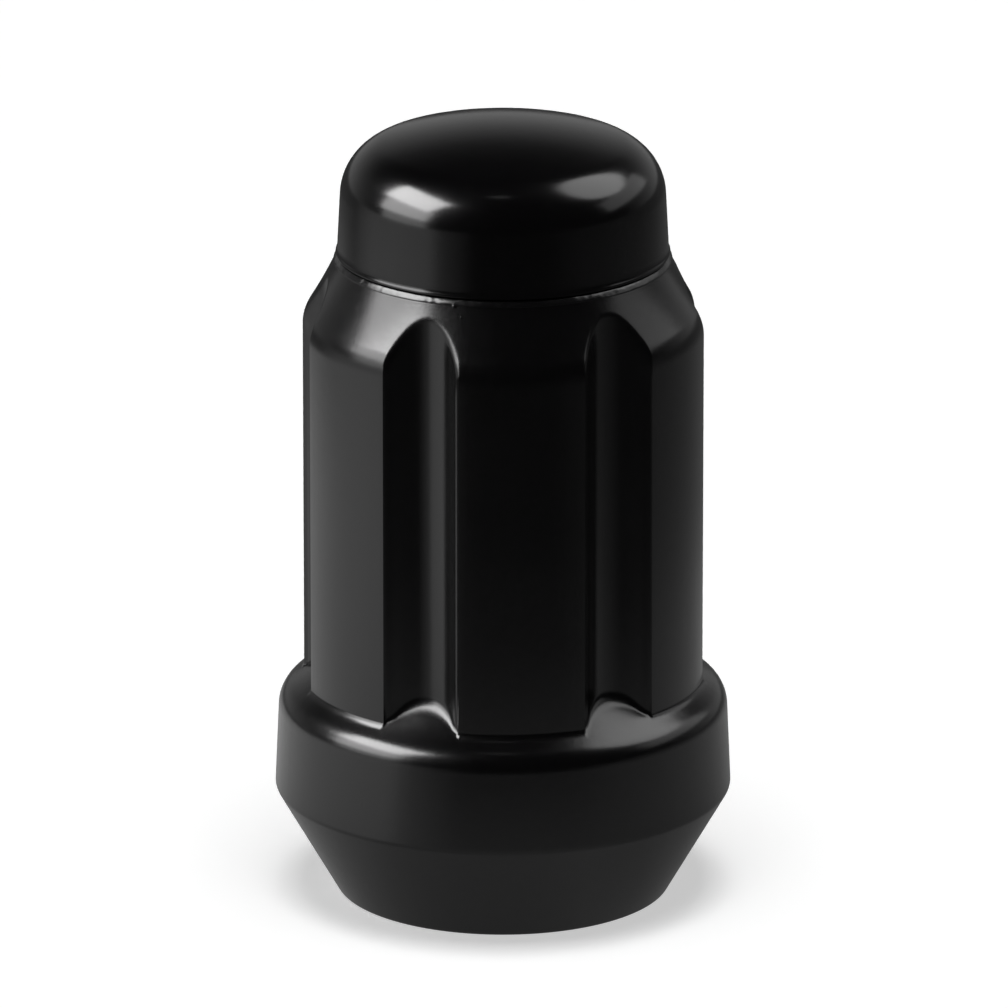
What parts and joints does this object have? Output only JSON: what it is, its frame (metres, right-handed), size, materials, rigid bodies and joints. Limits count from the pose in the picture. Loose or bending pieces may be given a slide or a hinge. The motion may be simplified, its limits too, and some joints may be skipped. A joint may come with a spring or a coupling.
{
  "type": "lug nut",
  "caption": "Closed-end wheel lug nut: tapped body with a fluted spline drive, round flange and conical seat, closed on top by a welded dome cap; clamps a wheel on its stud.",
  "frame": {"origin": "on the thread axis, in the plane of the seat's tip, where the nut stands", "axes": "+Z along the thread axis from the seat towards the dome cap; a flute lies on +X, so a lobe faces -Y"},
  "size_m": [0.0202, 0.0202, 0.035],
  "materials": {
    "body_coat": "satin black coating on forged steel",
    "cap_coat": "satin black coating on pressed steel"
  },
  "bodies": {
    "root": {"nut_body": "body_coat", "end_cap": "cap_coat"}
  },
  "joints": []
}
